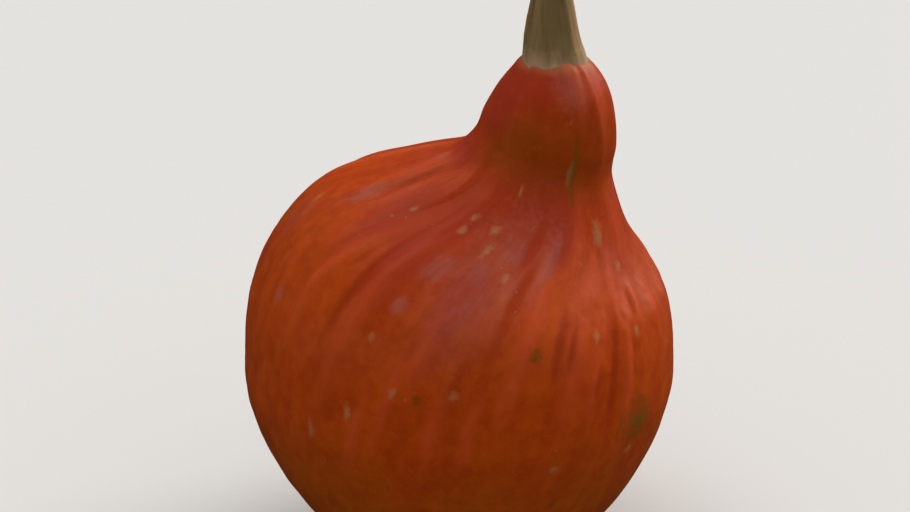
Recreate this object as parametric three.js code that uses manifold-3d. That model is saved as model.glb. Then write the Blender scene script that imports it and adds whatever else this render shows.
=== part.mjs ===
// A teardrop-shaped winter pumpkin, ripe and picked, standing on its blossom end with its dry stem uppermost.
// Millimetres, +Z up, resting on Z = 0, with the belly's axis on the Z axis.
// The fruit is a stack of round sections. Below the belly they share the Z axis. Above it their centres
// move off to one side and the sections tip the same way, so that the neck stands near that side.
// Everything that leans does so in one upright plane, which stands at LEAN_AZIMUTH to +X.

import * as THREE from "three";
import { mergeVertices } from "three/addons/utils/BufferGeometryUtils.js";
import Module from "manifold-3d";

// Fruit: the lower flank is a superellipse from the flat foot out to the belly.
const BELLY_RADIUS = 81;
const BELLY_HEIGHT = 78.5;
const FOOT_RADIUS = 20;
const FLANK_POWER = 1.6; // 2 would be an ellipse, and less than 2 draws the flank in towards the foot
const SCAR_RADIUS = 7; // the dimple in the foot where the blossom was
const SCAR_DEPTH = 1.5;
const LEAN_AZIMUTH = THREE.MathUtils.degToRad(-12); // the neck stands to +X and a little to the front, -Y

// Sections of shoulder, neck and crown: how far the centre has moved in the plane of the lean, its height,
// the section's radius, and how many degrees it tips down on the side of the lean.
const UPPER_SECTIONS = [
  { lean: 0, height: 91, radius: 80.5, tip: 0.5 },
  { lean: 1, height: 106.2, radius: 78.6, tip: 4 },
  { lean: 4.3, height: 123, radius: 72.5, tip: 8.5 },
  { lean: 10, height: 134, radius: 63.2, tip: 13.5 },
  { lean: 18.4, height: 142, radius: 51, tip: 18 },
  { lean: 28, height: 152.7, radius: 35.4, tip: 21.5 },
  { lean: 30, height: 164.5, radius: 27, tip: 14 },
  { lean: 32.4, height: 172.5, radius: 25.3, tip: 9 },
  { lean: 33.2, height: 180.5, radius: 23.8, tip: 3.5 },
  { lean: 34.6, height: 190, radius: 20.2, tip: 1.5 },
  { lean: 35, height: 197, radius: 15.5, tip: 0 },
  { lean: 34.6, height: 200.9, radius: 11.6, tip: 0 },
  { lean: 34.6, height: 202.8, radius: 5.5, tip: 0 },
  { lean: 34.6, height: 203.2, radius: 0, tip: 0 },
];

// Stem: five blunt ridges run up it, unevenly spaced, and its foot flares over the crown of the fruit as a
// corky collar.
const STEM_LEAN = 34.6;
const STEM_ROOT_HEIGHT = 196; // inside the crown, where the fruit cuts the stem off
const STEM_GAP = 0.3;
const RIDGES = 5;
const BROAD_FACE = THREE.MathUtils.degToRad(-80); // the way that the widest hollow between ridges faces
const RIDGE_CROWDING = 1.87; // how far the ridges crowd together on the other side; 0 spaces them evenly
const CUT_SLOPE = 0.16; // the cut end falls by this much for each millimetre across

// Sections of the stem: height above its root, mean radius, how far the ridges stand out as a share of the
// radius, and how far the middle has wandered to +X and +Y.
const STEM_SECTIONS = [
  { rise: 0, radius: 12.2, ridge: 0.03, x: 0, y: 0 },
  { rise: 5, radius: 11.8, ridge: 0.03, x: 0, y: 0 },
  { rise: 8, radius: 10.9, ridge: 0.06, x: -0.4, y: 0 },
  { rise: 12, radius: 10, ridge: 0.09, x: -1, y: 0.1 },
  { rise: 18, radius: 8.9, ridge: 0.09, x: -1.3, y: 0.3 },
  { rise: 24, radius: 7.8, ridge: 0.09, x: -1.2, y: 0.6 },
  { rise: 31, radius: 6.8, ridge: 0.09, x: -1.5, y: 1 },
  { rise: 38, radius: 6.8, ridge: 0.09, x: -2.2, y: 1.6 },
  { rise: 44, radius: 7.2, ridge: 0.09, x: -3, y: 2.4 },
];

// Fineness of the faceted surfaces.
const FRUIT_FACES_AROUND = 60;
const FLANK_ROWS = 14;
const ROWS_PER_SECTION = 2;
const STEM_FACES_AROUND = 50;
const STEM_ROWS = 16;

const UP = new THREE.Vector3(0, 0, 1);

// A closed skin over a list of rings that starts and ends in a point: a ball whose rows of vertices are moved
// onto the rings. pointOn(ring, angle, target) places one vertex.
function skinOver(rings, facesAround, pointOn) {
  const rows = rings.length - 1;
  const ball = new THREE.SphereGeometry(1, facesAround, rows);
  const position = ball.getAttribute("position");
  const uv = ball.getAttribute("uv");
  const point = new THREE.Vector3();
  for (let i = 0; i < position.count; i++) {
    const ring = rings[Math.round(uv.getY(i) * rows)];
    const step = i % (facesAround + 1);
    const angle = ((step % facesAround) / facesAround) * 2 * Math.PI;
    pointOn(ring, angle, point);
    position.setXYZ(i, point.x, point.y, point.z);
  }
  ball.deleteAttribute("normal");
  ball.deleteAttribute("uv");
  return mergeVertices(ball);
}

// Section values at even steps along a smooth curve through the given sections.
function smoothed(sections, keys, steps) {
  const places = new THREE.CatmullRomCurve3(
    sections.map((section) => new THREE.Vector3(...keys.map((key) => section[key]))),
    false,
    "catmullrom",
    0.5,
  );
  return places.getPoints(steps);
}

function fruitRings() {
  const flank = [];
  for (let row = 0; row <= FLANK_ROWS; row++) {
    const turn = (Math.PI / 2) * (1 - row / FLANK_ROWS);
    const out = Math.cos(turn) ** (2 / FLANK_POWER);
    const down = Math.sin(turn) ** (2 / FLANK_POWER);
    flank.push({
      lean: 0,
      height: BELLY_HEIGHT * (1 - down),
      radius: FOOT_RADIUS + (BELLY_RADIUS - FOOT_RADIUS) * out,
      tip: 0,
    });
  }

  // The curve starts two sections below the belly, so that the flank runs into the shoulder without a crease.
  const leadIn = 2;
  const controls = [...flank.slice(-1 - leadIn), ...UPPER_SECTIONS];
  const steps = (controls.length - 1) * ROWS_PER_SECTION;
  const places = smoothed(controls, ["lean", "height", "radius"], steps);
  const tips = smoothed(controls, ["tip", "height", "radius"], steps);
  const upper = places.map((place, i) => ({
    lean: place.x,
    height: place.y,
    radius: place.z,
    tip: THREE.MathUtils.degToRad(tips[i].x),
  }));
  upper.at(-1).radius = 0;

  const foot = [
    { lean: 0, height: SCAR_DEPTH, radius: 0, tip: 0 },
    { lean: 0, height: SCAR_DEPTH, radius: SCAR_RADIUS * 0.5, tip: 0 },
    { lean: 0, height: SCAR_DEPTH * 0.6, radius: SCAR_RADIUS * 0.85, tip: 0 },
    { lean: 0, height: 0, radius: SCAR_RADIUS, tip: 0 },
  ];
  return [...foot, ...flank, ...upper.slice(1 + leadIn * ROWS_PER_SECTION)];
}

function pointOnFruit({ lean, height, radius, tip }, angle, target) {
  const along = radius * Math.cos(angle);
  target.set(
    lean + along * Math.cos(tip),
    radius * Math.sin(angle),
    height - along * Math.sin(tip),
  );
  return target.applyAxisAngle(UP, LEAN_AZIMUTH);
}

function stemRings() {
  const places = smoothed(STEM_SECTIONS, ["x", "y", "rise"], STEM_ROWS);
  const sizes = smoothed(STEM_SECTIONS, ["radius", "ridge", "rise"], STEM_ROWS);
  const rings = places.map((place, i) => ({
    x: place.x,
    y: place.y,
    height: STEM_ROOT_HEIGHT + place.z,
    radius: sizes[i].x,
    share: sizes[i].y,
    slope: CUT_SLOPE * (i / STEM_ROWS) ** 3,
  }));
  return [{ ...rings[0], radius: 0 }, ...rings, { ...rings.at(-1), radius: 0 }];
}

function pointOnStem({ x, y, height, radius, share, slope }, angle, target) {
  const turn = angle - BROAD_FACE;
  const ridge = 1 - share * Math.cos(RIDGES * turn - RIDGE_CROWDING * Math.sin(turn));
  const across = radius * ridge * Math.cos(angle);
  const deep = radius * ridge * Math.sin(angle);
  const axisX = STEM_LEAN * Math.cos(LEAN_AZIMUTH);
  const axisY = STEM_LEAN * Math.sin(LEAN_AZIMUTH);
  return target.set(axisX + x + across, axisY + y + deep, height - slope * across);
}

// The stem sits on the fruit like a cap: what lies inside the fruit, grown by the gap, is cut away.
async function cutStem(stem, fruit) {
  const wasm = await Module();
  wasm.setup();
  const solid = (geometry) =>
    new wasm.Manifold(
      new wasm.Mesh({
        numProp: 3,
        vertProperties: new Float32Array(geometry.getAttribute("position").array),
        triVerts: new Uint32Array(geometry.index.array),
      }),
    );
  const grown = solid(fruit).add(solid(fruit).translate([0, 0, STEM_GAP]));
  const cut = solid(stem).subtract(grown).getMesh();
  return new THREE.BufferGeometry()
    .setAttribute("position", new THREE.BufferAttribute(cut.vertProperties, 3))
    .setIndex(new THREE.BufferAttribute(cut.triVerts, 1));
}

function named(name, geometry, finish) {
  geometry.computeVertexNormals();
  const mesh = new THREE.Mesh(geometry, new THREE.MeshStandardMaterial(finish));
  mesh.name = name;
  return mesh;
}

const fruitGeometry = skinOver(fruitRings(), FRUIT_FACES_AROUND, pointOnFruit);
const stemGeometry = await cutStem(
  skinOver(stemRings(), STEM_FACES_AROUND, pointOnStem),
  fruitGeometry,
);

const pumpkin = new THREE.Group();
pumpkin.add(named("fruit", fruitGeometry, { color: 0xb84418, roughness: 0.48, metalness: 0 }));
pumpkin.add(named("stem", stemGeometry, { color: 0x8a7448, roughness: 0.85, metalness: 0 }));

export default pumpkin;
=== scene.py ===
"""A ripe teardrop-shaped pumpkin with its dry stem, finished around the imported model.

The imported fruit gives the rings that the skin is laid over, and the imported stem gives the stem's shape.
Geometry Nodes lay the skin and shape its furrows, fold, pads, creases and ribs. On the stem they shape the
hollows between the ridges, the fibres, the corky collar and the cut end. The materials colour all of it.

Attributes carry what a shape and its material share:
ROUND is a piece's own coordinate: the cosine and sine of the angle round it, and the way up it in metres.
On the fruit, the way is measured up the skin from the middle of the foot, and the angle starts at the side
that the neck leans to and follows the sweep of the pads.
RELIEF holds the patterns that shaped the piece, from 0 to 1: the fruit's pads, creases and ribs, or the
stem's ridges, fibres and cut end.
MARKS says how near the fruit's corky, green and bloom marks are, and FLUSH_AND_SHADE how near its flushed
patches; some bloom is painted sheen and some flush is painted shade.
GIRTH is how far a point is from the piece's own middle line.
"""

import math

import bpy
from bpy.props import FloatProperty, FloatVectorProperty, IntProperty, PointerProperty
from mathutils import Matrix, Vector


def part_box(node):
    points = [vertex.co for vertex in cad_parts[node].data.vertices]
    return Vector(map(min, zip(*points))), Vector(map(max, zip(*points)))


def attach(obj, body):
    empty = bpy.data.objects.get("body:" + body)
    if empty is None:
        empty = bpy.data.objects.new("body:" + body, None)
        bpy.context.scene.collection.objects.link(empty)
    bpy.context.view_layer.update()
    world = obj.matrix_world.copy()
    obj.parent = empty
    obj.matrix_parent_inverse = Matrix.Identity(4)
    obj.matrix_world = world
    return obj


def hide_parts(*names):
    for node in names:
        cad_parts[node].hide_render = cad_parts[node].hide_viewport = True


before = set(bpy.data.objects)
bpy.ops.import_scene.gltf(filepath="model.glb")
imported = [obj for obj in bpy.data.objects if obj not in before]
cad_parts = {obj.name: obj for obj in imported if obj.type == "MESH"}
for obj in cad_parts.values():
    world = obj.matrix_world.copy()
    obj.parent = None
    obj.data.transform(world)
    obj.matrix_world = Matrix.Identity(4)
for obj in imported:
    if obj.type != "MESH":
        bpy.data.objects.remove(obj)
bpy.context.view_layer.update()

bl_info = {
    "name": "Pumpkin",
    "version": (1, 0, 0),
    "blender": (4, 5, 0),
    "location": "View3D > Sidebar > Pumpkin",
    "description": "Builds a ripe pumpkin with its dry stem around its packed model",
    "category": "Object",
}

MM = 0.001
UP = Vector((0, 0, 1))
ON_LINE = 0.01 * MM  # points nearer than this to a line count as on it
SCAR_REACH, SCAR_RISE = 10 * MM, 3 * MM  # the zone that holds the blossom scar under the fruit
STEM_TIP = 3 * MM  # how far down from the stem's top its points tell where the middle of the top is
FINE_RELIEF = 0.4 * MM  # how high the materials' own relief looks
ROUND, RELIEF, MARKS, FLUSH_AND_SHADE, GIRTH = "round", "relief", "marks", "flush", "girth"
KINDS = {
    "float": "NodeSocketFloat",
    "int": "NodeSocketInt",
    "vector": "NodeSocketVector",
    "geometry": "NodeSocketGeometry",
    "material": "NodeSocketMaterial",
}

# Ways up the skin of the fruit. A pair is the stretch over which something fades in, and a pair of pairs
# holds the two ends of a zone.
SHOULDER_WAY = 192 * MM  # below it, the pads sweep to the far side
UP_FLANK = (90 * MM, 180 * MM)
STREAKS_GROW = (100 * MM, 190 * MM)
PADS_WIDEN = (185 * MM, 225 * MM)
CREASES_SHALLOW = (205 * MM, 235 * MM)
CREASES_PALE = (215 * MM, 245 * MM)
INTO_NECK = (190 * MM, 250 * MM)
INTO_WAIST = (235 * MM, 256 * MM)
DOWN_FLANK = (170 * MM, 110 * MM)
DOWN_TO_FOOT = (140 * MM, 110 * MM)
SHOULDER = ((150 * MM, 200 * MM), (250 * MM, 225 * MM))
LOW_NECK = ((242 * MM, 256 * MM), (283 * MM, 264 * MM))
COLLAR_CORK = (288 * MM, 293 * MM)
SCAR_CORK = (16 * MM, 11 * MM)
SCAR = (9.5 * MM, 7 * MM)
OFF_FLOOR = (0, 8 * MM)  # heights over which the relief fades in above the flat foot

# Directions in the fruit's own coordinate
# NECK_SHADE_SIDE is where the low neck is painted olive and darker, as shade; the olive is partly the
# neck's own.
NECK_SHADE_SIDE = (0.26, -0.97, 0)  # where its neck is olive
GRAZED_SIDE = (0.96, -0.28, 0)  # where the key light only grazes the skin

# The fold is a crest with a hollow beside it. It runs down the neck from the collar to the waist.
FOLD_WAYS = (284 * MM, 256 * MM)
FOLD_TURNS = (math.radians(-41), math.radians(-29))  # how far round it is at those ways
FOLD_ZONE = ((258 * MM, 274 * MM), (294 * MM, 286 * MM))
CREST_WIDTH = 2.8 * MM
HOLLOW_ASIDE, HOLLOW_WIDTH = -4 * MM, 4.5 * MM
HOLLOW_DEEPENS = (286 * MM, 268 * MM)

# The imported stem's ridges
RIDGES = 5
BROAD_FACE = math.radians(-80)  # the way that the widest hollow between them faces
RIDGE_CROWDING = 1.87  # how far they crowd together on the other side

# Rises above the stem's foot, as stretches over which something fades in
COLLAR_SWELLS = (6 * MM, 2.5 * MM)
COLLAR_SINKS = (5 * MM, 2 * MM)
COLLAR_PALE = (6 * MM, 0.5 * MM)
ABOVE_COLLAR = (4 * MM, 12 * MM)
NEAR_TOP = (30 * MM, 34 * MM)

# The stem's cut end is dished, with a small pit at its middle. A pair is how far out something fades in.
DISH, DISH_DEPTH = (6 * MM, 3 * MM), 0.7 * MM
PIT, PIT_DEPTH = (2.6 * MM, 1.2 * MM), 2.2 * MM
TORN_DEPTH = 0.35 * MM
DARK_RIM = (4.2 * MM, 6.4 * MM)
DARK_PIT = (2.8 * MM, 1.0 * MM)

# Settings that a tree has an input of the same name for
SKIN_SIZES = (
    "Unevenness",
    "Furrow Depth",
    "Fold Depth",
    "Pads",
    "Pad Height",
    "Crease Depth",
    "Rib Height",
    "Sweep",
    "Seed",
)
STEM_SIZES = ("Fibre Depth", "Hollow Depth", "Collar Swell")

# Marks that stand out on the skin. Each has its angle round the fruit in degrees, from the side that the
# neck leans to, then in millimetres how far up the skin its middle is, its length and its width. Creases'
# and ribs' angles follow the sweep of the pads.
CORK_MARKS = (
    (-58, 256, 8, 2.5),
    (-36, 238, 9, 5),
    (-95, 230, 5, 4),
    (-107, 230, 4, 2.5),
    (-106, 224, 4, 3),
    (-91, 221, 8, 2.5),
    (-23, 222, 6, 3),
    (-130, 221, 3, 2.5),
    (-41, 187, 7, 3),
    (-24, 183, 7, 3),
    (-104, 180, 3, 3),
    (-80, 165, 4, 4),
    (-107, 153, 7, 3),
    (-118, 143, 7, 3),
    (-54, 133, 3, 4),
    (-29, 130, 4, 4),
    (15, 150, 5, 3),
    (40, 200, 7, 3),
    (70, 152, 5, 3),
    (80, 238, 6, 3),
    (95, 182, 8, 3),
    (118, 224, 5, 4),
    (130, 160, 4, 3),
    (155, 190, 6, 3),
    (171, 229, 5, 3),
)
GREEN_MARKS = (
    (-56, 256, 18, 2.5),
    (-60, 181, 5, 4),
    (-89, 162, 3, 3),
    (-26, 141, 14, 17),
    (-52, 116, 3, 3),
    (66, 128, 16, 9),
    (104, 250, 16, 3),
)
# Waxy bloom. The large pale patch on the shoulder and the pink ones near it and under the collar are also
# painted sheen.
BLOOM_AND_SHEEN_MARKS = (
    (-58, 285, 14, 10),
    (-81, 211, 46, 22),
    (-65, 222, 26, 5),
    (-99, 208, 9, 8),
    (-101, 192, 5, 4),
    (-152, 214, 10, 6),
    (-162, 237, 6, 4),
    (-140, 178, 4, 4),
    (60, 214, 34, 14),
    (112, 220, 32, 12),
    (150, 204, 14, 9),
)
# Flushed patches of wine red. The two high up beside the stem are painted shade.
FLUSH_AND_SHADE_MARKS = (
    (-108, 219, 40, 24),
    (-84, 236, 30, 18),
    (-100, 288, 18, 14),
    (-137, 280, 26, 14),
    (-131, 216, 26, 12),
    (-152, 247, 12, 14),
    (-86, 204, 26, 12),
    (-62, 237, 24, 8),
    (90, 222, 40, 26),
    (142, 232, 30, 18),
)
# Creases are sunk into the skin and painted darker, as shade.
CREASES = (
    (-33, 168, 62, 4),
    (-52, 186, 32, 4),
    (-48, 182, 25, 3),
    (-23, 199, 22, 3),
    (-38, 165, 16, 4),
    (-115, 196, 48, 5),
    (-148, 227, 18, 3),
    (-74, 228, 28, 6),
    (-70, 203, 60, 6),
    (-37, 232, 12, 3),
    (40, 195, 50, 5),
    (62, 180, 44, 5),
    (88, 206, 40, 6),
    (115, 188, 52, 5),
    (140, 200, 40, 6),
    (163, 185, 40, 5),
)
# Ribs are raised and painted paler, as highlight.
RIBS = (
    (-109, 198, 80, 8),
    (-65, 222, 40, 6),
    (-62, 190, 66, 7),
    (-53, 232, 34, 10),
    (-28, 162, 60, 5),
    (-20, 202, 36, 5),
    (-10, 196, 30, 8),
    (-18, 236, 40, 14),
    (-31, 209, 44, 6),
    (-44, 212, 24, 8),
    (-46, 175, 44, 9),
    (-40, 172, 38, 7),
    (-87, 183, 32, 8),
    (-157, 234, 30, 10),
    (-143, 224, 26, 6),
    (-48, 284, 24, 8),
    (-33, 273, 24, 7),
    (-91, 160, 34, 5),
    (-78, 152, 30, 5),
    (-97, 146, 28, 5),
    (-69, 150, 26, 5),
    (-134, 228, 40, 8),
    (-128, 192, 34, 6),
    (30, 202, 60, 8),
    (48, 190, 70, 9),
    (75, 214, 50, 8),
    (100, 186, 60, 9),
    (128, 206, 60, 8),
    (151, 180, 50, 9),
    (173, 210, 50, 8),
)


# Settings


def length(name, description, default):
    return FloatProperty(
        name=name, description=description, default=default, min=0, unit="LENGTH", precision=4
    )


def number(name, description, default):
    return FloatProperty(name=name, description=description, default=default, min=0)


def angle(name, description, degrees):
    return FloatProperty(
        name=name, description=description, default=math.radians(degrees), min=0, subtype="ANGLE"
    )


def colour(name, description, default):
    return FloatVectorProperty(
        name=name, description=description, default=default, size=3, subtype="COLOR", min=0, max=1
    )


class FruitSettings(bpy.types.PropertyGroup):
    """Shape and colours of the fruit's skin."""

    columns: IntProperty(name="Columns", description="Faces round the fruit", default=400, min=24)
    rows: IntProperty(name="Rows", description="Faces between two packed rings", default=5, min=1)
    unevenness: length("Unevenness", "How far the fruit is from round", 0.7 * MM)
    furrow_depth: length("Furrow Depth", "Depth of the shallow furrows of the neck", 0.6 * MM)
    fold_depth: length("Fold Depth", "Height of the one fold down the neck", 0.55 * MM)
    pads: number("Pads", "About how many soft pads there are round the fruit", 62)
    pad_height: length("Pad Height", "Height of the lengthwise pads", 0.6 * MM)
    crease_depth: length("Crease Depth", "Depth of the creases between some of the pads", 0.7 * MM)
    rib_height: length("Rib Height", "Height of the few long ribs that run down from the neck", 0.8 * MM)
    sweep: number("Sweep", "How fast the pads sweep to the far side below the shoulder, per metre", 3.0)
    seed: FloatProperty(name="Seed", description="Moves the random pads, furrows and streaks", default=3.0)
    flesh: colour("Rind", "Main orange of the rind", (0.50, 0.053, 0.0))
    blush: colour("Blush", "Red on the shoulder and neck", (0.44, 0.034, 0.001))
    base: colour("Base", "Brown orange towards the foot", (0.42, 0.063, 0.0))
    foot: colour("Foot", "Yellower brown orange low down", (0.465, 0.084, 0.0))
    # Neck also paints shade low on the neck, on the side away from the key light.
    neck: colour("Neck", "Olive brown low on the neck and round the green spots", (0.195, 0.062, 0.001))
    # Raised Pads and Ribs also paint highlight on what stands up, and Grooves paints shade between the pads
    # and down in the creases.
    paler_orange_and_highlight: colour("Raised Pads", "Paler orange on the raised pads", (0.60, 0.083, 0.003))
    deep_red_and_shade: colour("Grooves", "Deep red down in the creases", (0.33, 0.020, 0.0))
    rib_highlight: colour("Ribs", "Bright orange red on the long ribs", (0.66, 0.080, 0.020))
    # Flush also paints shade high up beside the stem.
    flush: colour("Flush", "Wine red of the flushed patches", (0.36, 0.026, 0.010))
    # Bloom also paints the sheen on the shoulder.
    bloom_and_sheen: colour("Bloom", "Dusty pink of the waxy bloom", (0.37, 0.125, 0.105))
    cork: colour("Cork", "Tan of the corky flecks", (0.46, 0.225, 0.085))
    green: colour("Green", "Green that has not ripened", (0.115, 0.085, 0.010))
    scar: colour("Scar", "Brown of the blossom scar", (0.16, 0.085, 0.040))
    sheen: colour("Sheen", "Tint of the weak reflections in the rind", (1.0, 0.80, 0.50))


class StemSettings(bpy.types.PropertyGroup):
    """Shape and colours of the dry stem."""

    grain: length("Grain", "Size of the stem's faces", 0.42 * MM)
    fibre_depth: length("Fibre Depth", "Height of the fibres", 0.30 * MM)
    hollow_depth: length("Hollow Depth", "How far the hollows between the ridges sink in", 1.0 * MM)
    collar_swell: length("Collar Swell", "How far the corky collar swells out", 0.8 * MM)
    # Ridges also paints the highlight on the side of the stem towards the key light.
    light: colour("Ridges", "Tan on the dry ridges", (0.46, 0.285, 0.130))
    # Hollows also paints shade down between the ridges, as well as the brown of the splits, cracks and
    # pith.
    brown_and_shade: colour("Hollows", "Brown down between the ridges", (0.12, 0.070, 0.026))
    olive: colour("Olive", "Olive that is left of the living stem", (0.20, 0.130, 0.047))
    cork: colour("Collar", "Pale cork of the collar", (0.50, 0.325, 0.18))
    pith: colour("Pith", "Pale pith of the cut end", (0.46, 0.34, 0.19))


class StageSettings(bpy.types.PropertyGroup):
    """Floor, light and camera."""

    floor: colour("Floor", "Colour of the floor as the camera sees it", (0.66, 0.645, 0.62))
    floor_reach: length("Floor Reach", "From the pumpkin to each edge of the floor", 20.0)
    floor_thrown: number("Floor Throw", "Share of the floor's colour that lights the pumpkin", 0.3)
    floor_mirrored: number("Floor Mirror", "Share of the floor's colour that reflections show", 0.02)
    backdrop: number("Backdrop", "Strength of the backdrop, in the floor's colour", 1.17)
    elevation: angle("Elevation", "Camera above level", 22)
    distance: length("Distance", "Camera to the point it looks at", 0.75)
    aim_height: length("Aim Height", "Height of the point that the camera looks at", 0.1222)
    aim_side: FloatProperty(
        name="Aim Side", description="How far to +X the camera looks", default=-1.55 * MM, unit="LENGTH"
    )
    lens: number("Lens", "Focal length in millimetres on a 36 mm sensor", 79.74)
    key_turn: angle("Key Turn", "Way to the lamp behind on the right, from +X round to +Y", 45)
    key_elevation: angle("Key Elevation", "That lamp above level", 38)
    key_strength: number("Key Light", "Strength of the lamp behind on the right, in W/m2", 2.31)
    key_spread: angle("Key Spread", "How wide the lamp behind on the right looks", 56)
    top_turn: angle("Top Turn", "Way to the lamp overhead on the left, from +X round to +Y", 150)
    top_elevation: angle("Top Elevation", "That lamp above level", 66)
    top_strength: number("Top Light", "Strength of the lamp overhead on the left, in W/m2", 0.516)
    top_spread: angle("Top Spread", "How wide the lamp overhead on the left looks", 32)
    sky: number("Sky", "Strength of the soft light from all round", 0.58)
    sky_sheen: number("Sky Sheen", "Share of that light that shows in reflections", 0.03)


# Node trees


class Wiring:
    """Adds nodes to one tree. An input is a plain value, or the socket that feeds it."""

    def __init__(self, tree):
        self.tree = tree

    def node(self, kind, inputs=(), **settings):
        node = self.tree.nodes.new(kind)
        node.location.x = 200 * len(self.tree.nodes)
        for name, value in settings.items():
            setattr(node, name, value)
        for key, value in dict(inputs).items():
            self.feed(value, node.inputs[key])
        return node

    def out(self, kind, inputs=(), **settings):
        """The first output of a new node."""
        return self.node(kind, inputs, **settings).outputs[0]

    def feed(self, value, socket):
        if isinstance(value, bpy.types.NodeSocket):
            self.tree.links.new(value, socket)
        else:
            socket.default_value = value

    def math(self, operation, *values):
        return self.out("ShaderNodeMath", enumerate(values), operation=operation)

    def vector(self, operation, *values):
        node = self.node("ShaderNodeVectorMath", enumerate(values), operation=operation)
        return node.outputs["Value" if operation in {"DOT_PRODUCT", "LENGTH"} else "Vector"]

    def scaled(self, vector, scale):
        return self.out("ShaderNodeVectorMath", {0: vector, "Scale": scale}, operation="SCALE")

    def join(self, x, y, z):
        return self.out("ShaderNodeCombineXYZ", {0: x, 1: y, 2: z})

    def split(self, vector):
        return self.node("ShaderNodeSeparateXYZ", {0: vector}).outputs

    def between(self, value, low, high, to_low=0.0, to_high=1.0):
        """A smooth step: to_low where value is at low or past it, to_high at high."""
        inputs = {0: value, 1: low, 2: high, 3: to_low, 4: to_high}
        return self.out("ShaderNodeMapRange", inputs, interpolation_type="SMOOTHSTEP")

    def within(self, value, low_end, high_end):
        """1 inside a zone, fading to 0 over the stretch at each end of it."""
        return self.product(self.between(value, *low_end), self.between(value, *high_end))

    def noise(self, place, scale=1.0, detail=2.0, roughness=0.5, distortion=0.0, output=0):
        inputs = {
            "Vector": place,
            "Scale": scale,
            "Detail": detail,
            "Roughness": roughness,
            "Distortion": distortion,
        }
        return self.node("ShaderNodeTexNoise", inputs).outputs[output]

    def cells(self, place):
        """How far a point is from the middle of its cell, and the cell's random colour."""
        return self.node("ShaderNodeTexVoronoi", {"Vector": place, "Scale": 1.0}).outputs[:2]

    def valley(self, value, middle, width):
        """1 where the value is at the middle, falling to 0 at the width to both sides."""
        return self.between(self.math("ABSOLUTE", self.math("SUBTRACT", value, middle)), width, 0)

    def mix(self, share, a, b):
        return self.node("ShaderNodeMix", {0: share, 6: a, 7: b}, data_type="RGBA").outputs[2]

    def product(self, *values):
        result = values[0]
        for value in values[1:]:
            result = self.math("MULTIPLY", result, value)
        return result

    def total(self, *values):
        result = values[0]
        for value in values[1:]:
            result = self.math("ADD", result, value)
        return result

    def centred(self, value):
        """Moves a pattern that runs from 0 to 1 to run from -1 to 1."""
        return self.math("MULTIPLY_ADD", value, 2, -1)

    def drawn_out(self, around, across, per_metre, seed=0.0):
        """A piece's own coordinate, scaled to this many units round it and this many per metre up it."""
        radius = self.math("DIVIDE", across, 2 * math.pi)
        x, y, way = self.split(around)
        return self.join(
            self.math("MULTIPLY_ADD", x, radius, seed),
            self.math("MULTIPLY_ADD", y, radius, seed),
            self.math("MULTIPLY_ADD", way, per_metre, seed),
        )


def new_tree(name, kind, inputs, outputs):
    """An empty node tree with named sockets: its wiring, its input sockets and its output node."""
    tree = bpy.data.node_groups.new(name, kind)
    for in_out, sockets in (("INPUT", inputs), ("OUTPUT", outputs)):
        for socket, sort in sockets.items():
            tree.interface.new_socket(socket, in_out=in_out, socket_type=KINDS[sort])
    w = Wiring(tree)
    given = w.node("NodeGroupInput").outputs
    made = w.node("NodeGroupOutput")
    return w, given, made


def group_output(w, group, inputs):
    """The first output of a node group placed in this tree."""
    kind = "GeometryNodeGroup" if group.bl_idname == "GeometryNodeTree" else "ShaderNodeGroup"
    return w.out(kind, inputs, node_tree=group)


def run_tree(thing, tree, values):
    """Runs a Geometry Nodes tree on an object and keeps the result as its plain mesh."""
    modifier = thing.modifiers.new(tree.name, "NODES")
    modifier.node_group = tree
    sockets = {item.name: item.identifier for item in tree.interface.items_tree if item.in_out == "INPUT"}
    for name, value in values.items():
        modifier[sockets[name]] = value
    bake_modifiers(thing)


def sizes(settings, names):
    """The settings of these names, each for the tree input that it feeds."""
    return {name: getattr(settings, name.lower().replace(" ", "_")) for name in names}


def bake_modifiers(thing):
    """Keeps what an object's modifiers make of it as its plain mesh."""
    graph = bpy.context.evaluated_depsgraph_get()
    made = thing.evaluated_get(graph)
    mesh = bpy.data.meshes.new_from_object(made, preserve_all_data_layers=True, depsgraph=graph)
    thing.modifiers.clear()
    thing.data = mesh
    mesh.name = thing.name


def new_object(name, data):
    thing = bpy.data.objects.new(name, data)
    bpy.context.scene.collection.objects.link(thing)
    return thing


def named_field(w, name, sort):
    inputs = {"Name": name}
    return w.node("GeometryNodeInputNamedAttribute", inputs, data_type=sort).outputs["Attribute"]


def stored(w, geometry, name, value, sort):
    inputs = {"Geometry": geometry, "Name": name, "Value": value}
    return w.out("GeometryNodeStoreNamedAttribute", inputs, data_type=sort, domain="POINT")


def moved(w, geometry, offset):
    return w.out("GeometryNodeSetPosition", {"Geometry": geometry, "Offset": offset})


def finished(w, geometry, made, material):
    """The end of every tree: real geometry with its material."""
    geometry = w.out("GeometryNodeRealizeInstances", {"Geometry": geometry})
    inputs = {"Geometry": geometry, "Material": material}
    w.feed(w.out("GeometryNodeSetMaterial", inputs), made.inputs[0])
    return w.tree


# The fruit's shape


def lean_directions():
    """The top of the fruit, the level way that its neck leans, and the level way across that."""
    crown = max((vertex.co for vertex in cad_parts["fruit"].data.vertices), key=lambda place: place.z)
    lean = Vector((crown.x, crown.y, 0)).normalized()
    return crown.copy(), lean, UP.cross(lean)


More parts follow.
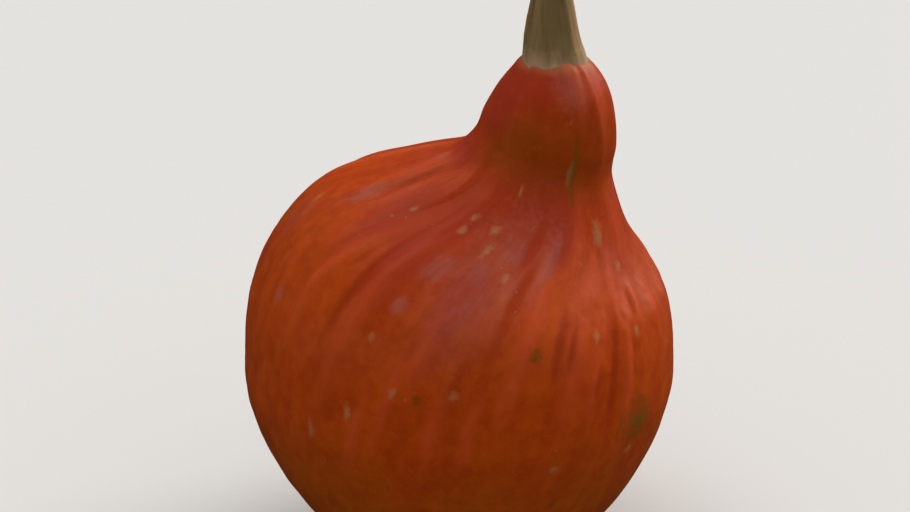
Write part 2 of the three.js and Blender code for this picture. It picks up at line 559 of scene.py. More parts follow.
def fruit_rings():
    """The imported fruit's rings, foot first, each as its ends on the leaning side and on the far side."""
    crown, lean, side = lean_directions()
    slopes = {}
    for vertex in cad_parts["fruit"].data.vertices:
        place = vertex.co
        on_axis = place.xy.length < ON_LINE or (place - crown).length < ON_LINE
        if abs(place.dot(side)) < ON_LINE and not on_axis:
            key = tuple(round(value / ON_LINE) for value in place)
            slopes[key] = slopes.get(key, 0) + vertex.normal.dot(lean)

    def foot_first(place):
        in_scar = place.z < SCAR_RISE and place.xy.length < SCAR_REACH
        return (0, place.xy.length) if in_scar else (1, place.z)

    near = sorted((Vector(key) * ON_LINE for key, slope in slopes.items() if slope > 0), key=foot_first)
    far = sorted((Vector(key) * ON_LINE for key, slope in slopes.items() if slope < 0), key=foot_first)
    if len(near) != len(far):
        raise RuntimeError("the packed fruit's rings can't be told apart")
    scar = Vector((0, 0, near[0].z))
    return [(scar, scar), *zip(near, far), (crown, crown)]


def fruit_spine():
    """A line through the middles of the rings. Its points know each ring's radius, how far the ring tips
    down in the lean, and how far up the skin it lies."""
    rings = fruit_rings()
    ways = [0.0]
    for (near, far), (next_near, next_far) in zip(rings, rings[1:]):
        ways.append(ways[-1] + ((next_near - near).length + (next_far - far).length) / 2)
    radii = [(near - far).length / 2 for near, far in rings]
    drops = [(far.z - near.z) / 2 for near, far in rings]
    tips = [math.asin(drop / radius) if radius else 0.0 for drop, radius in zip(drops, radii)]
    middles = [(near + far) / 2 for near, far in rings]
    mesh = bpy.data.meshes.new("fruit")
    mesh.from_pydata(middles, [(i, i + 1) for i in range(len(middles) - 1)], [])
    for name, values in (("radius", radii), ("tilt", tips), ("way", ways)):
        mesh.attributes.new(name, "FLOAT", "POINT").data.foreach_set("value", values)
    return mesh


def swept(w, around, sweep):
    """The coordinate round the fruit, turned more and more to the far side below the shoulder, where the
    pads and ribs run aslant."""
    x, y, way = w.split(around)
    below = w.math("MAXIMUM", w.math("SUBTRACT", SHOULDER_WAY, way), 0)
    shrink = w.math("EXPONENT", w.product(below, sweep, -1))
    near = w.math("ADD", 1, x)
    far = w.product(w.math("SUBTRACT", 1, x), shrink, shrink)
    whole = w.math("ADD", near, far)
    new_x = w.math("DIVIDE", w.math("SUBTRACT", near, far), whole)
    new_y = w.math("DIVIDE", w.product(y, shrink, 2), whole)
    return w.join(new_x, new_y, way)


def pads_and_creases(w, around, pads, placed, seed):
    """Short soft lengthwise pads, and the creases between a few of them. Both run from 0 to 1."""
    sway = w.vector("SUBTRACT", w.noise(w.drawn_out(around, 8, 20, seed), output=1), (0.5, 0.5, 0.5))
    around = w.vector("ADD", around, w.vector("MULTIPLY", sway, (0.16, 0.16, 0.012)))
    wide = w.noise(w.drawn_out(around, w.product(pads, 0.5), 26, seed), detail=1.5)
    soft = w.noise(w.drawn_out(around, pads, 44, seed), detail=2)
    upper = w.between(w.split(around)[2], *PADS_WIDEN)
    soft = w.total(w.product(wide, upper), w.product(soft, w.math("SUBTRACT", 1, upper)))
    line = w.noise(w.drawn_out(around, 26, 13, seed), detail=1)
    where = w.between(w.noise(w.drawn_out(around, 9, 14, w.math("ADD", seed, 7)), detail=1), 0.48, 0.60)
    found = w.product(w.valley(line, 0.5, 0.08), where, 0.35)
    return w.between(soft, 0.25, 0.75), w.math("MAXIMUM", found, w.between(placed, 0.3, 0.85))


def mark_group():
    """How near a point of the skin is to one oval mark: 1 at its middle, 0.5 at its rim, 0 far away."""
    inputs = {
        "Around": "vector",
        "Girth": "float",
        "Turn": "float",
        "Way": "float",
        "Length": "float",
        "Width": "float",
    }
    w, given, made = new_tree("Mark", "GeometryNodeTree", inputs, {"Nearness": "float"})
    x, y, way = w.split(given["Around"])
    cosine = w.math("COSINE", given["Turn"])
    sine = w.math("SINE", given["Turn"])
    across = w.product(w.math("SUBTRACT", w.product(y, cosine), w.product(x, sine)), given["Girth"])
    facing = w.math("GREATER_THAN", w.total(w.product(x, cosine), w.product(y, sine)), 0)
    up = w.math("SUBTRACT", way, given["Way"])
    oval = w.join(w.math("DIVIDE", across, given["Width"]), w.math("DIVIDE", up, given["Length"]), 0)
    near = w.math("SUBTRACT", 1, w.vector("LENGTH", oval))
    w.feed(w.product(w.math("MAXIMUM", near, 0), facing), made.inputs["Nearness"])
    return w.tree


def nearness(w, around, girth, marks):
    """How near a point of the skin is to the nearest of a list of marks."""
    group = bpy.data.node_groups.get("Mark") or mark_group()
    nearest = None
    for turn, way, size_up, size_across in marks:
        inputs = {
            "Around": around,
            "Girth": girth,
            "Turn": math.radians(turn),
            "Way": way * MM,
            "Length": size_up * MM,
            "Width": size_across * MM,
        }
        near = group_output(w, group, inputs)
        nearest = near if nearest is None else w.math("MAXIMUM", nearest, near)
    return nearest


def skin_tree():
    """Lays a closed skin over the spine's rings, and shapes its furrows, fold, pads, creases and ribs."""
    inputs = {
        "Spine": "geometry",
        "Columns": "int",
        "Rows": "int",
        "Lean": "vector",
        "Side": "vector",
        **dict.fromkeys(SKIN_SIZES, "float"),
        "Material": "material",
    }
    w, given, made = new_tree("Pumpkin Skin", "GeometryNodeTree", inputs, {"Skin": "geometry"})

    # The spine with more rings, and a sheet with a row for each of them
    line = w.out("GeometryNodeMeshToCurve", {"Mesh": given["Spine"]})
    line = w.out("GeometryNodeCurveSplineType", {"Curve": line}, spline_type="CATMULL_ROM")
    inputs = {"Geometry": line, "Resolution": given["Rows"]}
    line = w.out("GeometryNodeSetSplineResolution", inputs)
    line = w.out("GeometryNodeResampleCurve", {"Curve": line}, mode="EVALUATED")
    size = w.node("GeometryNodeAttributeDomainSize", {"Geometry": line}, component="CURVE")
    rings = size.outputs["Point Count"]

    columns = w.math("ADD", given["Columns"], 1)
    sheet = {"Size X": 1, "Size Y": 1, "Vertices X": columns, "Vertices Y": rings}
    skin = w.node("GeometryNodeMeshGrid", sheet).outputs["Mesh"]
    u, v, _ = w.split(w.out("GeometryNodeInputPosition"))
    turn = w.math("MULTIPLY", w.math("ADD", u, 0.5), 2 * math.pi)
    last = w.math("SUBTRACT", rings, 1)
    ring = w.math("ROUND", w.math("MULTIPLY", w.math("ADD", v, 0.5), last))

    def at_ring(field, sort):
        inputs = {"Geometry": line, "Value": field, "Index": ring}
        return w.out("GeometryNodeSampleIndex", inputs, data_type=sort, domain="POINT")

    middle = at_ring(w.out("GeometryNodeInputPosition"), "FLOAT_VECTOR")
    radius = at_ring(w.out("GeometryNodeInputRadius"), "FLOAT")
    tip = at_ring(w.out("GeometryNodeInputCurveTilt"), "FLOAT")
    way = at_ring(named_field(w, "way", "FLOAT"), "FLOAT")

    # The place of each point of the sheet on its ring, and what the shape and the materials share
    cosine = w.math("COSINE", turn)
    sine = w.math("SINE", turn)
    along = w.math("MULTIPLY", radius, cosine)
    level = w.scaled(given["Lean"], w.math("MULTIPLY", along, w.math("COSINE", tip)))
    across = w.scaled(given["Side"], w.math("MULTIPLY", radius, sine))
    drop = w.join(0, 0, w.math("MULTIPLY", along, w.math("SINE", tip)))
    place = w.vector("SUBTRACT", w.vector("ADD", w.vector("ADD", middle, level), across), drop)
    turned = w.join(cosine, sine, way)
    around = swept(w, turned, given["Sweep"])
    skin = stored(w, skin, ROUND, around, "FLOAT_VECTOR")
    placed = nearness(w, around, radius, CREASES)
    pads, creases = pads_and_creases(w, around, given["Pads"], placed, given["Seed"])
    ribs = w.between(nearness(w, around, radius, RIBS), 0.1, 1.0)
    skin = stored(w, skin, RELIEF, w.join(pads, creases, ribs), "FLOAT_VECTOR")
    marks = (nearness(w, turned, radius, each) for each in (CORK_MARKS, GREEN_MARKS, BLOOM_AND_SHEEN_MARKS))
    skin = stored(w, skin, MARKS, w.join(*marks), "FLOAT_VECTOR")
    skin = stored(w, skin, FLUSH_AND_SHADE, nearness(w, turned, radius, FLUSH_AND_SHADE_MARKS), "FLOAT")
    skin = stored(w, skin, GIRTH, radius, "FLOAT")
    skin = w.out("GeometryNodeSetPosition", {"Geometry": skin, "Position": place})
    skin = w.out("GeometryNodeMergeByDistance", {"Geometry": skin, "Distance": ON_LINE / 2})
    skin = w.out("GeometryNodeSetShadeSmooth", {"Geometry": skin})

    # The relief
    around = named_field(w, ROUND, "FLOAT_VECTOR")
    girth = named_field(w, GIRTH, "FLOAT")
    x, y, way = w.split(around)
    here = w.out("GeometryNodeInputPosition")
    shifted = w.vector("ADD", here, w.join(given["Seed"], 0, 0))
    uneven = w.product(w.centred(w.noise(shifted, 16, 1)), given["Unevenness"])

    lines = w.noise(w.drawn_out(around, 9, 6, given["Seed"]), detail=0)
    upper = w.between(way, *INTO_NECK, 0.1, 1.0)
    furrows = w.product(w.valley(lines, 0.5, 0.12), given["Furrow Depth"], upper)

    fold_turn = w.between(way, *FOLD_WAYS, *FOLD_TURNS)
    beside = w.product(w.math("SUBTRACT", w.math("ARCTAN2", y, x), fold_turn), girth)
    hollow = w.valley(beside, HOLLOW_ASIDE, HOLLOW_WIDTH)
    crest = w.valley(beside, 0, CREST_WIDTH)
    hollow = w.product(hollow, w.between(way, *HOLLOW_DEEPENS, 0.2, 0.7))
    ends = w.within(way, *FOLD_ZONE)
    fold = w.product(w.math("SUBTRACT", hollow, crest), given["Fold Depth"], ends)

    patches = w.between(w.noise(shifted, 24, 1), 0.38, 0.62, 0.45, 1.0)
    grazed = w.between(w.vector("DOT_PRODUCT", around, GRAZED_SIDE), 0.4, 0.9, 1.0, 0.55)
    pads, creases, ribs = w.split(named_field(w, RELIEF, "FLOAT_VECTOR"))
    ribs = w.product(ribs, given["Rib Height"])
    pads = w.product(w.centred(pads), given["Pad Height"], patches, grazed)
    share = w.product(w.between(way, *UP_FLANK, 0.35, 1.0), w.between(way, *INTO_WAIST, 1.0, 0.12))
    shallow = w.between(way, *CREASES_SHALLOW, 1.0, 0.4)
    creases = w.product(creases, given["Crease Depth"], shallow, grazed)
    veins = w.product(w.math("SUBTRACT", pads, creases), share)

    lift = w.math("SUBTRACT", w.total(uneven, veins, ribs), w.total(furrows, fold))
    lift = w.product(lift, w.between(w.split(here)[2], *OFF_FLOOR))
    normal = w.out("GeometryNodeInputNormal")
    skin = moved(w, skin, w.scaled(normal, lift))
    x, y, z = w.split(here)
    stood = {"Geometry": skin, "Position": w.join(x, y, w.math("MAXIMUM", z, 0))}
    skin = w.out("GeometryNodeSetPosition", stood)
    return finished(w, skin, made, given["Material"])


# The stem's shape


def stem_tree():
    """Gives the stem its own coordinate, and shapes its hollows, fibres, corky collar and cut end."""
    inputs = {
        "Stem": "geometry",
        "Foot": "vector",
        "Top": "vector",
        **dict.fromkeys(STEM_SIZES, "float"),
        "Material": "material",
    }
    w, given, made = new_tree("Pumpkin Stem", "GeometryNodeTree", inputs, {"Stem": "geometry"})
    here = w.out("GeometryNodeInputPosition")
    normal = w.out("GeometryNodeInputNormal")
    foot_x, foot_y, foot_z = w.split(given["Foot"])
    top_x, top_y, top_z = w.split(given["Top"])
    x, y, z = w.split(here)
    rise = w.math("SUBTRACT", z, foot_z)
    share = w.math("DIVIDE", rise, w.math("SUBTRACT", top_z, foot_z))
    bend = w.math("MULTIPLY", share, share)

    def off_middle(value, foot, top):
        """How far a point is from the stem's bent middle line, along one axis."""
        drift = w.product(w.math("SUBTRACT", top, foot), bend)
        return w.math("SUBTRACT", w.math("SUBTRACT", value, foot), drift)

    side = off_middle(x, foot_x, top_x)
    deep = off_middle(y, foot_y, top_y)
    girth = w.vector("LENGTH", w.join(side, deep, 0))
    safe = w.math("MAXIMUM", girth, 0.1 * MM)
    around = w.join(w.math("DIVIDE", side, safe), w.math("DIVIDE", deep, safe), rise)
    upward = w.split(normal)[2]
    end = w.product(w.between(upward, 0.6, 0.85), w.between(rise, *NEAR_TOP))
    relief = w.join(stem_ridges(w, around), stem_fibres(w, around), end)
    stem = stored(w, given["Stem"], ROUND, around, "FLOAT_VECTOR")
    stem = stored(w, stem, RELIEF, relief, "FLOAT_VECTOR")
    stem = stored(w, stem, GIRTH, girth, "FLOAT")

    around = named_field(w, ROUND, "FLOAT_VECTOR")
    girth = named_field(w, GIRTH, "FLOAT")
    ridges, fibres, end = w.split(named_field(w, RELIEF, "FLOAT_VECTOR"))
    x, y, rise = w.split(around)
    wall = w.between(w.math("ABSOLUTE", upward), 0.8, 0.5)

    wrinkles = w.centred(w.noise(w.drawn_out(around, 15, 45, 2.0), detail=1))
    rough = w.product(w.total(w.centred(fibres), w.product(wrinkles, 1.2)), given["Fibre Depth"])
    above_collar = w.between(rise, *ABOVE_COLLAR)
    sharper = w.product(w.math("SUBTRACT", ridges, 1), given["Hollow Depth"], above_collar)
    wall_lift = w.product(w.total(rough, sharper), wall)

    lobes = w.between(w.noise(w.drawn_out(around, 15, 0, 5.0), detail=0), 0.38, 0.62)
    collar = w.between(rise, *COLLAR_SWELLS)
    swell = w.product(given["Collar Swell"], collar, w.math("MULTIPLY_ADD", lobes, 0.8, 0.2))
    low = w.between(rise, *COLLAR_SINKS)
    sink = w.product(low, w.total(w.product(swell, 1.1), 0.9 * MM))
    torn = w.product(w.centred(w.noise(here, 420, 2)), TORN_DEPTH)
    dish = w.product(w.between(girth, *DISH), DISH_DEPTH)
    pit = w.product(w.between(girth, *PIT), PIT_DEPTH)
    hollow = w.product(w.total(dish, pit, torn), end)

    down = w.math("MULTIPLY", w.total(sink, hollow), -1)
    outward = w.join(w.product(x, swell), w.product(y, swell), down)
    stem = moved(w, stem, w.vector("ADD", w.scaled(normal, wall_lift), outward))
    stem = w.out("GeometryNodeSetShadeSmooth", {"Geometry": stem})
    return finished(w, stem, made, given["Material"])


def stem_ridges(w, around):
    """The stem's ridges: 1 on their crests, 0 between them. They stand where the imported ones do."""
    x, y, _ = w.split(around)
    turn = w.math("SUBTRACT", w.math("ARCTAN2", y, x), BROAD_FACE)
    crowded = w.product(w.math("SINE", turn), RIDGE_CROWDING)
    wave = w.math("COSINE", w.math("SUBTRACT", w.product(turn, RIDGES), crowded))
    return w.math("POWER", w.math("MULTIPLY_ADD", wave, -0.5, 0.5), 2)


def stem_fibres(w, around):
    """Fine fibres up the stem, from 0 to 1."""
    return w.noise(w.drawn_out(around, 46, 60, 4.0), detail=2.5, roughness=0.6, distortion=0.2)


# Materials


def new_material(name):
    """An empty material: itself, its wiring and its Principled shader."""
    material = bpy.data.materials.new(name)
    material.use_nodes = True
    material.node_tree.nodes.clear()
    w = Wiring(material.node_tree)
    shader = w.node("ShaderNodeBsdfPrincipled")
    w.node("ShaderNodeOutputMaterial", {0: shader.outputs[0]})
    return material, w, shader


def opaque(rgb):
    return (*rgb, 1.0)


def coated(w, body, rgb, *shares):
    """A colour laid over the body's, as strongly as the product of the shares."""
    return w.mix(w.product(*shares), body, opaque(rgb))


def surface(w, shader, body, rough, relief, strength, gloss):
    """Gives a shader its colour, roughness, fine relief and shine."""
    w.feed(body, shader.inputs["Base Color"])
    w.feed(rough, shader.inputs["Roughness"])
    inputs = {"Height": relief, "Strength": strength, "Distance": FINE_RELIEF}
    w.feed(w.out("ShaderNodeBump", inputs), shader.inputs["Normal"])
    shader.inputs["Specular IOR Level"].default_value = gloss


def specks_group():
    """Soft irregular specks in a share of the cells: a mask from 0 to 1."""
    inputs = {"Place": "vector", "Scale": "float", "Size": "float", "Share": "float"}
    w, given, made = new_tree("Specks", "ShaderNodeTree", inputs, {"Mask": "float"})
    place = w.scaled(given["Place"], given["Scale"])
    wobble = w.vector("SUBTRACT", w.noise(place, 5, output=1), (0.5, 0.5, 0.5))
    distance, tint = w.cells(w.vector("ADD", place, w.scaled(wobble, 0.18)))
    chosen, bigness, _ = w.split(tint)
    size = w.product(given["Size"], w.math("MULTIPLY_ADD", bigness, 0.9, 0.3))
    inside = w.between(distance, size, w.math("MULTIPLY", size, 0.35))
    w.feed(w.product(inside, w.math("LESS_THAN", chosen, given["Share"])), made.inputs["Mask"])
    return w.tree


def attribute(w, name, output="Vector"):
    return w.node("ShaderNodeAttribute", attribute_name=name).outputs[output]


def rind_material(settings, specks):
    material, w, shader = new_material("Rind")
    place = w.node("ShaderNodeTexCoord").outputs["Object"]
    around = attribute(w, ROUND)
    way = w.split(around)[2]
    pads, creases, ribs = w.split(attribute(w, RELIEF))

    fine = w.noise(w.drawn_out(around, 190, 110, settings.seed), detail=2, roughness=0.55)
    tone = w.total(w.product(pads, 0.75), w.product(fine, 0.25))
    broad = w.noise(w.drawn_out(around, 14, 12, settings.seed), detail=2)
    patches = w.noise(place, 26, 2)
    mottle = w.noise(place, 170, 2)
    grain = w.noise(place, 300, 3, 0.65)
    streaky = w.product(w.between(way, *INTO_WAIST, 1.0, 0.2), w.between(way, *STREAKS_GROW, 0.6, 1.0))

    # Orange, redder up the neck and browner down to the foot
    body = coated(w, opaque(settings.flesh), settings.blush, w.between(way, *INTO_NECK))
    body = coated(w, body, settings.base, w.between(way, *DOWN_FLANK))
    body = coated(w, body, settings.foot, w.between(way, *DOWN_TO_FOOT))
    body = coated(w, body, settings.blush, w.between(broad, 0.52, 0.72), 0.5)
    body = coated(w, body, settings.base, w.between(patches, 0.55, 0.75), 0.35)

    # Painted highlight on the raised pads and ribs, painted shade between the pads and in the creases, and
    # mottling and grain
    body = coated(w, body, settings.paler_orange_and_highlight, w.between(tone, 0.50, 0.90), 0.36, streaky)
    body = coated(w, body, settings.deep_red_and_shade, w.between(tone, 0.45, 0.05), 0.28, streaky)
    body = coated(w, body, settings.paler_orange_and_highlight, w.between(mottle, 0.48, 0.68), 0.20)
    body = coated(w, body, settings.deep_red_and_shade, w.between(mottle, 0.52, 0.32), 0.24)
    body = coated(w, body, settings.paler_orange_and_highlight, w.between(grain, 0.48, 0.66), 0.24)
    body = coated(w, body, settings.base, w.between(grain, 0.52, 0.34), 0.28)
    body = coated(w, body, settings.rib_highlight, ribs, w.between(fine, 0.2, 0.7, 0.5, 1.0), 0.56)
    # Painted shade down in the creases
    body = coated(w, body, settings.deep_red_and_shade, creases, w.between(way, *CREASES_PALE, 0.6, 0.2))

    # Olive and painted shade low on the neck's shaded side, waxy bloom and painted sheen on the shoulder,
    # and flushed patches, some of them painted shade
    # Painted shade: low on the neck, on the side away from the key light, the rind is darkened to olive
    # brown, partly its own olive
    neck_shade_side = w.between(w.vector("DOT_PRODUCT", around, NECK_SHADE_SIDE), 0.1, 0.9)
    olive_and_shade_low_neck = w.product(w.within(way, *LOW_NECK), neck_shade_side, w.between(patches, 0.25, 0.6, 0.4, 1.0))
    body = coated(w, body, settings.neck, olive_and_shade_low_neck, 0.55)
    # Painted sheen as well as waxy bloom, on the shoulder
    shoulder_bloom_and_sheen = w.product(w.between(w.noise(place, 34, 4), 0.42, 0.66), w.within(way, *SHOULDER))
    body = coated(w, body, settings.bloom_and_sheen, shoulder_bloom_and_sheen, 0.10)
    # Flushed patches, and painted shade where two of them lie high up beside the stem
    flushed_and_shaded = w.between(attribute(w, FLUSH_AND_SHADE, "Fac"), 0.0, 0.7)
    body = coated(w, body, settings.flush, flushed_and_shaded, w.between(broad, 0.3, 0.6, 0.45, 0.75))

    # Marks with ragged edges, and random flecks and dots of cork
    ragged = w.product(w.centred(w.noise(place, 520, 3)), 0.40)
    near = w.vector("ADD", attribute(w, MARKS), w.join(ragged, ragged, ragged))
    near_cork, near_green, near_bloom_and_sheen = w.split(near)
    grown = w.drawn_out(around, 20, 26, settings.seed)
    flecks = group_output(w, specks, {"Place": grown, "Scale": 1.4, "Size": 0.13, "Share": 0.34})
    dots = group_output(w, specks, {"Place": place, "Scale": 210, "Size": 0.2, "Share": 0.10})
    corky = w.math("MAXIMUM", w.product(flecks, 0.45), w.product(dots, 0.3))
    corky = w.math("MAXIMUM", corky, w.product(w.between(near_cork, 0.30, 0.90), 0.50))
    # Waxy bloom and painted sheen at the bloom marks, kept out of the creases
    bloom_and_sheen_patches = w.product(w.between(near_bloom_and_sheen, 0.05, 0.8), w.between(creases, 1.0, 0.2))
    cloudy = w.total(w.product(fine, 0.4), w.product(w.noise(place, 85, 3), 0.6))
    body = coated(w, body, settings.bloom_and_sheen, bloom_and_sheen_patches, w.between(cloudy, 0.4, 0.6, 0.22, 0.44))
    body = coated(w, body, settings.cork, corky)
    unripe = w.between(near_green, 0.15, 0.60)
    body = coated(w, body, settings.neck, unripe, w.between(mottle, 0.35, 0.65, 0.35, 0.65))
    body = coated(w, body, settings.green, w.between(near_green, 0.55, 1.0), 0.65)

    # Cork meets the stem at the crown, and round the brown scar in the foot.
    edge = w.product(w.centred(w.noise(w.drawn_out(around, 16, 60, 2.0), detail=2)), 3 * MM)
    way = w.total(way, edge)
    body = coated(w, body, settings.cork, w.between(way, *COLLAR_CORK), 0.35)
    scar_cork = w.between(way, *SCAR_CORK)
    body = coated(w, body, settings.cork, scar_cork, 0.7)
    body = coated(w, body, settings.scar, w.between(way, *SCAR))

    corky = w.math("MAXIMUM", corky, scar_cork)
    rough = w.total(w.product(w.noise(place, 90, 3), 0.14), 0.38, w.product(corky, 0.3))
    pores = w.noise(place, 1500, 2)
    relief = w.total(w.product(fine, 0.4), w.product(mottle, 0.5), w.product(grain, 0.35))
    relief = w.total(relief, w.product(pores, 0.10), w.product(corky, 0.7))
    surface(w, shader, body, rough, relief, strength=0.5, gloss=0.14)
    shader.inputs["Specular Tint"].default_value = opaque(settings.sheen)
    return material


def stem_material(settings, specks):
    material, w, shader = new_material("Dry Stem")
    place = w.node("ShaderNodeTexCoord").outputs["Object"]
    around = attribute(w, ROUND)
    x, y, rise = w.split(around)
    ridges, fibres, end = w.split(attribute(w, RELIEF))
    girth = attribute(w, GIRTH, "Fac")

    broad = w.noise(w.drawn_out(around, 9, 30, 1.0), detail=2)
    # Painted highlight: the ridges are paler on the side towards the key light, besides their own tan
    key_lit_side = w.between(x, -0.6, 0.8, 0.25, 1.0)
    crests = w.total(w.product(ridges, key_lit_side), w.product(w.centred(broad), 0.25))
    tan_and_lit_ridges = w.product(w.between(crests, 0.05, 0.5), w.between(y, -0.2, 0.5, 1.0, 0.75))
    body = coated(w, opaque(settings.olive), settings.light, tan_and_lit_ridges)
    splits = w.valley(w.noise(w.drawn_out(around, 70, 40, 6.0), detail=1), 0.5, 0.035)
    body = coated(w, body, settings.brown_and_shade, splits, w.between(broad, 0.4, 0.6), 0.5)
    # Painted shade down in the hollows between the ridges
    hollows = w.between(ridges, 0.35, 0.0)
    body = coated(w, body, settings.brown_and_shade, hollows, w.between(broad, 0.35, 0.6), 0.35)
    body = coated(w, body, settings.brown_and_shade, w.between(fibres, 0.50, 0.25), 0.35)
    edge = w.total(rise, w.product(w.centred(w.noise(w.drawn_out(around, 14, 90, 1.0), detail=2)), 3 * MM))
    collar = w.between(edge, *COLLAR_PALE)
    body = coated(w, body, settings.cork, collar, w.between(broad, 0.35, 0.6, 0.5, 0.9))
    cracks = group_output(w, specks, {"Place": place, "Scale": 420, "Size": 0.3, "Share": 0.2})
    body = coated(w, body, settings.brown_and_shade, cracks, 0.4)

    # The cut end is pale pith, dry and darker towards its rim and in the small pit at its middle.
    pores = w.between(w.noise(place, 1100, 3), 0.35, 0.65)
    pith = coated(w, opaque(settings.pith), settings.olive, pores, 0.6)
    pith = coated(w, pith, settings.brown_and_shade, w.between(girth, *DARK_RIM), 0.6)
    pith = coated(w, pith, settings.brown_and_shade, w.between(girth, *DARK_PIT), 0.85)
    body = w.mix(end, body, pith)

    rough = w.total(w.product(fibres, 0.15), 0.75)
    relief = w.total(fibres, w.product(w.noise(place, 1400, 3), 0.5), w.product(cracks, -0.4))
    surface(w, shader, body, rough, relief, strength=0.6, gloss=0.25)
    return material


def floor_material(settings):
    """A pale floor that throws little light back onto the pumpkin."""
    material, w, shader = new_material("Floor")
    path = w.node("ShaderNodeLightPath").outputs
    thrown = opaque(value * settings.floor_thrown for value in settings.floor)
    mirrored = opaque(value * settings.floor_mirrored for value in settings.floor)
    other = w.mix(path["Is Glossy Ray"], thrown, mirrored)
    w.feed(w.mix(path["Is Camera Ray"], other, opaque(settings.floor)), shader.inputs["Base Color"])
    shader.inputs["Roughness"].default_value = 0.9
    shader.inputs["Specular IOR Level"].default_value = 0.1
    return material


# Pieces


class PUMPKIN_OT_fruit(bpy.types.Operator):
    """Lay the fruit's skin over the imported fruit"""

    bl_idname = "pumpkin.fruit"
    bl_label = "Fruit"

    def execute(self, context):
        settings = context.scene.pumpkin_fruit
        specks = bpy.data.node_groups.get("Specks") or specks_group()
        _, lean, side = lean_directions()
        fruit = new_object("fruit_skin", fruit_spine())
        values = {
            "Columns": settings.columns,
            "Rows": settings.rows,
            "Lean": lean,
            "Side": side,
            "Material": rind_material(settings, specks),
            **sizes(settings, SKIN_SIZES),
        }
        run_tree(fruit, skin_tree(), values)
        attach(fruit, "root")
        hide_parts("fruit")
        return {"FINISHED"}


class PUMPKIN_OT_stem(bpy.types.Operator):
    """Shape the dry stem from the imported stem"""

    bl_idname = "pumpkin.stem"
    bl_label = "Stem"

    def execute(self, context):
        settings = context.scene.pumpkin_stem
        specks = bpy.data.node_groups.get("Specks") or specks_group()
        stem = new_object("dry_stem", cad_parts["stem"].data.copy())
        remesh = stem.modifiers.new("Remesh", "REMESH")
        remesh.mode = "VOXEL"
        remesh.voxel_size = settings.grain
        bake_modifiers(stem)

        low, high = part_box("stem")
        crown = lean_directions()[0]
        tops = [vertex.co for vertex in stem.data.vertices if vertex.co.z > high[2] - STEM_TIP]
        top = sum(tops, Vector()) / len(tops)
        values = {
            "Foot": (crown.x, crown.y, low[2]),
            "Top": (top.x, top.y, high[2]),
            "Material": stem_material(settings, specks),
            **sizes(settings, STEM_SIZES),
        }
        run_tree(stem, stem_tree(), values)
        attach(stem, "root")
        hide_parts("stem")
        return {"FINISHED"}


# The stage


def lamp(name, turn, elevation, spread, strength):
    """A soft lamp so far off that it lights the whole floor evenly. Turn is the way to it round the
    pumpkin, elevation how high it stands, and spread how wide it looks."""
    light = bpy.data.lights.new(name, "SUN")
    light.angle = spread
    light.energy = strength
    level = Vector((math.cos(turn), math.sin(turn), 0))
    out = level * math.cos(elevation) + UP * math.sin(elevation)
    new_object(name, light).rotation_euler = (-out).to_track_quat("-Z", "Y").to_euler()


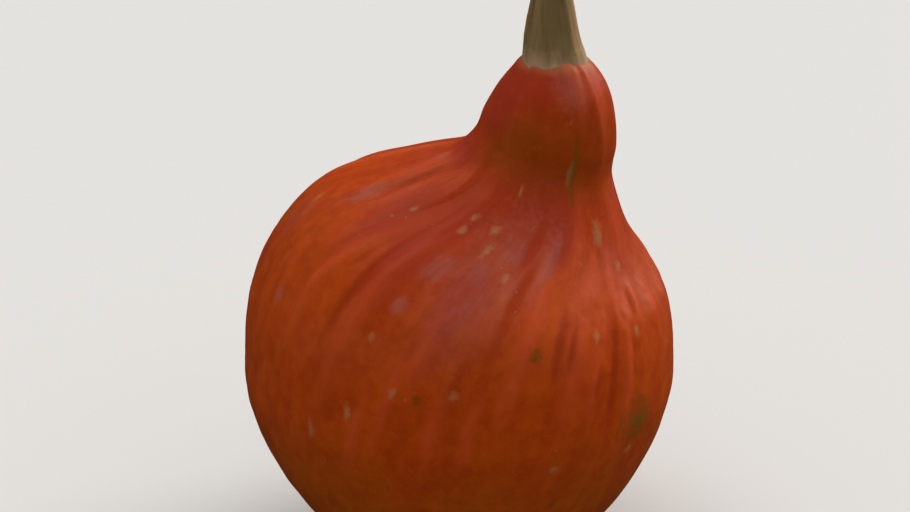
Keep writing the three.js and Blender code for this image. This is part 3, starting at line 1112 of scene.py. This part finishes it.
class PUMPKIN_OT_stage(bpy.types.Operator):
    """Set up the floor, the soft light and the camera"""

    bl_idname = "pumpkin.stage"
    bl_label = "Stage"

    def execute(self, context):
        scene = context.scene
        settings = scene.pumpkin_stage
        reach = settings.floor_reach
        floor = bpy.data.meshes.new("floor")
        corners = [(-reach, -reach, 0), (reach, -reach, 0), (reach, reach, 0), (-reach, reach, 0)]
        floor.from_pydata(corners, [], [(0, 1, 2, 3)])
        floor.materials.append(floor_material(settings))
        new_object("floor", floor)

        lamp(
            "key_light",
            settings.key_turn,
            settings.key_elevation,
            settings.key_spread,
            settings.key_strength,
        )
        lamp(
            "top_light",
            settings.top_turn,
            settings.top_elevation,
            settings.top_spread,
            settings.top_strength,
        )

        world = bpy.data.worlds.new("Studio")
        world.use_nodes = True
        world.node_tree.nodes.clear()
        w = Wiring(world.node_tree)
        path = w.node("ShaderNodeLightPath").outputs
        strength = w.between(path["Is Glossy Ray"], 0, 1, settings.sky, settings.sky * settings.sky_sheen)
        strength = w.math("MAXIMUM", strength, w.product(path["Is Camera Ray"], settings.backdrop))
        tint = w.mix(path["Is Camera Ray"], opaque((1, 1, 1)), opaque(settings.floor))
        backdrop = w.node("ShaderNodeBackground", {"Color": tint, "Strength": strength})
        w.node("ShaderNodeOutputWorld", {0: backdrop.outputs[0]})
        world.cycles.sampling_method = "NONE"  # an even sky, whose reflections stay weaker than its light
        scene.world = world

        lens = bpy.data.cameras.new("camera")
        lens.lens = settings.lens
        lens.sensor_width = 36
        camera = new_object("camera", lens)
        look = Vector((0, math.cos(settings.elevation), -math.sin(settings.elevation)))
        aim = Vector((settings.aim_side, 0, settings.aim_height))
        camera.location = aim - look * settings.distance
        camera.rotation_euler = look.to_track_quat("-Z", "Y").to_euler()
        scene.camera = camera
        scene.view_settings.view_transform = "Standard"
        return {"FINISHED"}


class PUMPKIN_PT_build(bpy.types.Panel):
    """Builds the pumpkin piece by piece"""

    bl_label = "Pumpkin"
    bl_idname = "PUMPKIN_PT_build"
    bl_space_type = "VIEW_3D"
    bl_region_type = "UI"
    bl_category = "Pumpkin"

    def draw(self, context):
        for operator in OPERATORS:
            self.layout.operator(operator.bl_idname)


OPERATORS = (PUMPKIN_OT_fruit, PUMPKIN_OT_stem, PUMPKIN_OT_stage)
SETTINGS = {"pumpkin_fruit": FruitSettings, "pumpkin_stem": StemSettings, "pumpkin_stage": StageSettings}


def register():
    for item in (*SETTINGS.values(), *OPERATORS, PUMPKIN_PT_build):
        bpy.utils.register_class(item)
    for name, group in SETTINGS.items():
        setattr(bpy.types.Scene, name, PointerProperty(type=group))


def unregister():
    for name in SETTINGS:
        delattr(bpy.types.Scene, name)
    for item in (PUMPKIN_PT_build, *reversed(OPERATORS), *reversed(SETTINGS.values())):
        bpy.utils.unregister_class(item)


def main():
    register()
    bpy.ops.pumpkin.fruit()
    bpy.ops.pumpkin.stem()
    bpy.ops.pumpkin.stage()


if __name__ == "__main__":
    main()
